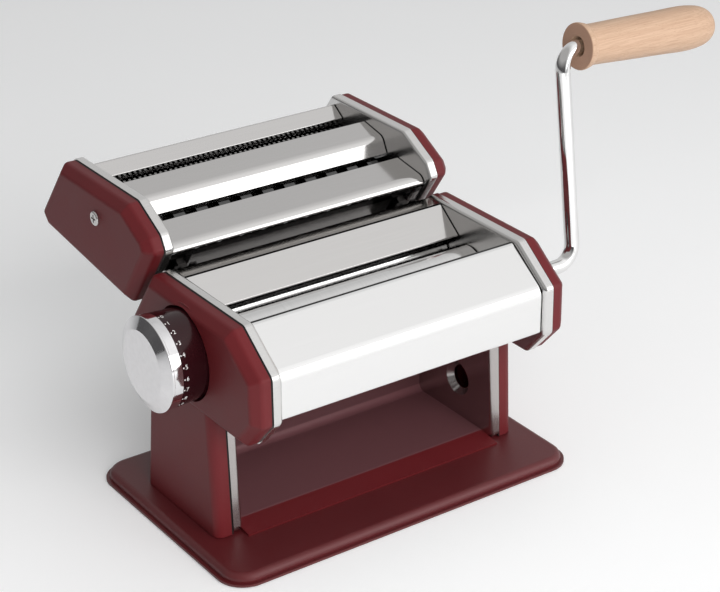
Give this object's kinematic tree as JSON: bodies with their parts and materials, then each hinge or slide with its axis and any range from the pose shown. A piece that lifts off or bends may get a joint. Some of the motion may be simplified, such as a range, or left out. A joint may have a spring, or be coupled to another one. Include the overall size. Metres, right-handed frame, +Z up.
{
  "type": "pasta roller machine",
  "caption": "Hand-cranked pasta roller machine with adjustable smooth rollers, a slide-on noodle cutter, a numbered regulator knob and a bent crank with a wooden grip.",
  "frame": {"origin": "centre of the base on the plane that the feet stand on; the underside of the base rim is 0.5 mm above it", "axes": "+X along the rollers towards the crank, +Y towards the cutter at the rear, +Z up"},
  "size_m": [0.3638, 0.207, 0.2058],
  "materials": {
    "burgundy_paint": "satin burgundy paint on pressed sheet",
    "polished_steel": "mirror-polished stainless sheet",
    "satin_steel": "satin stainless sheet and bar",
    "roller_alloy": "turned and anodised alloy",
    "gear_steel": "bright machined steel",
    "chrome": "bright chrome plate",
    "knob_gloss": "glossy dark burgundy",
    "bearing_nylon": "plain nylon",
    "beech": "oiled beech",
    "foot_rubber": "plain black rubber"
  },
  "bodies": {
    "machine_body": {"base_tray": "burgundy_paint", "foot_front_left": "foot_rubber", "foot_front_right": "foot_rubber", "foot_rear_left": "foot_rubber", "foot_rear_right": "foot_rubber", "floor_panel": "burgundy_paint", "left_plate": "polished_steel", "right_plate": "polished_steel", "left_cover": "burgundy_paint", "right_cover": "burgundy_paint", "front_hood": "polished_steel", "rear_chute": "satin_steel", "tie_rod_front": "satin_steel", "tie_rod_rear": "satin_steel", "bush_left": "bearing_nylon", "bush_right": "bearing_nylon", "crank_bush": "bearing_nylon", "scraper_front": "satin_steel", "scraper_rear": "satin_steel", "rail_left": "polished_steel", "rail_right": "polished_steel"},
    "crank_drive": {"crank_socket": "gear_steel"},
    "crank": {"crank_rod": "chrome"},
    "grip_body": {"grip": "beech"},
    "drive_roller_body": {"drive_roller": "roller_alloy", "drive_gear": "gear_steel", "driven_gear": "gear_steel"},
    "carriage": {"slider_left": "satin_steel", "slider_right": "satin_steel", "slider_bar": "satin_steel"},
    "adjust_roller_body": {"adjust_roller": "roller_alloy", "adjust_gear": "gear_steel"},
    "regulator": {"regulator_shaft": "gear_steel"},
    "knob": {"knob_barrel": "knob_gloss", "knob_cap": "chrome", "index_pin": "gear_steel"},
    "cutter": {"cutter_left_plate": "polished_steel", "cutter_right_plate": "polished_steel", "cutter_left_cap": "burgundy_paint", "cutter_right_cap": "burgundy_paint", "cutter_tie": "satin_steel", "cutter_left_screw": "satin_steel", "cutter_right_screw": "satin_steel", "rear_guide": "satin_steel", "centre_roof": "satin_steel", "front_guide": "satin_steel", "cutter_apron": "satin_steel", "cutter_channel": "satin_steel", "cutter_bearing_left": "bearing_nylon", "cutter_bearing_right": "bearing_nylon", "hook_left": "polished_steel", "hook_right": "polished_steel"},
    "fine_rear": {"fine_roller_rear": "roller_alloy", "fine_gear_rear": "gear_steel"},
    "fine_front": {"fine_roller_front": "roller_alloy", "fine_gear_front": "gear_steel"},
    "wide_rear": {"wide_roller_rear": "roller_alloy", "wide_gear_rear": "gear_steel"},
    "wide_front": {"wide_roller_front": "roller_alloy", "wide_gear_front": "gear_steel"}
  },
  "joints": [
    {"name": "crank_turn", "type": "hinge", "parent": "machine_body", "child": "crank_drive", "pos_m": [0.09, -0.0077, 0.0803], "axis": [1, 0, 0], "continuous": true},
    {"name": "crank_pull", "type": "slide", "parent": "crank_drive", "child": "crank", "axis": [1, 0, 0], "range_m": [0, 0.04]},
    {"name": "grip_spin", "type": "hinge", "parent": "crank", "child": "grip_body", "pos_m": [0.1472, 0.0089, 0.19409], "axis": [0.9983, -0.0083, -0.057], "continuous": true},
    {"name": "drive_roller_spin", "type": "hinge", "parent": "machine_body", "child": "drive_roller_body", "pos_m": [0, 0.0203, 0.096], "axis": [1, 0, 0], "continuous": true},
    {"name": "regulator_turn", "type": "hinge", "parent": "machine_body", "child": "regulator", "pos_m": [-0.085, -0.007, 0.0973], "axis": [-1, 0, 0], "range_deg": [0, 130.5]},
    {"name": "knob_pull", "type": "slide", "parent": "regulator", "child": "knob", "axis": [-1, 0, 0], "range_m": [-0.0011, 0.003], "stiffness_N_per_m": 600},
    {"name": "roller_gap", "type": "slide", "parent": "machine_body", "child": "carriage", "axis": [0, 1, 0], "range_m": [0, 0.0027]},
    {"name": "adjust_roller_spin", "type": "hinge", "parent": "carriage", "child": "adjust_roller_body", "pos_m": [0, -0.0097, 0.096], "axis": [1, 0, 0], "continuous": true},
    {"name": "cutter_slide", "type": "slide", "parent": "machine_body", "child": "cutter", "axis": [0, -0.5718, 0.8204], "range_m": [0, 0.03]},
    {"name": "fine_front_spin", "type": "hinge", "parent": "cutter", "child": "fine_front", "pos_m": [0, 0.08635, 0.1315], "axis": [1, 0, 0], "continuous": true},
    {"name": "fine_rear_spin", "type": "hinge", "parent": "cutter", "child": "fine_rear", "pos_m": [0, 0.10205, 0.1315], "axis": [1, 0, 0], "continuous": true},
    {"name": "wide_rear_spin", "type": "hinge", "parent": "cutter", "child": "wide_rear", "pos_m": [0, 0.06425, 0.1266], "axis": [1, 0, 0], "continuous": true},
    {"name": "wide_front_spin", "type": "hinge", "parent": "cutter", "child": "wide_front", "pos_m": [0, 0.04855, 0.1266], "axis": [1, 0, 0], "continuous": true}
  ],
  "couplings": [
    {"joint": "drive_roller_spin", "follows": "crank_turn", "ratio": -1},
    {"joint": "adjust_roller_spin", "follows": "crank_turn", "ratio": 1},
    {"joint": "regulator_turn", "follows": "roller_gap", "rad_per_m": 843.57},
    {"joint": "fine_rear_spin", "follows": "fine_front_spin", "ratio": -1},
    {"joint": "wide_front_spin", "follows": "wide_rear_spin", "ratio": -1}
  ]
}
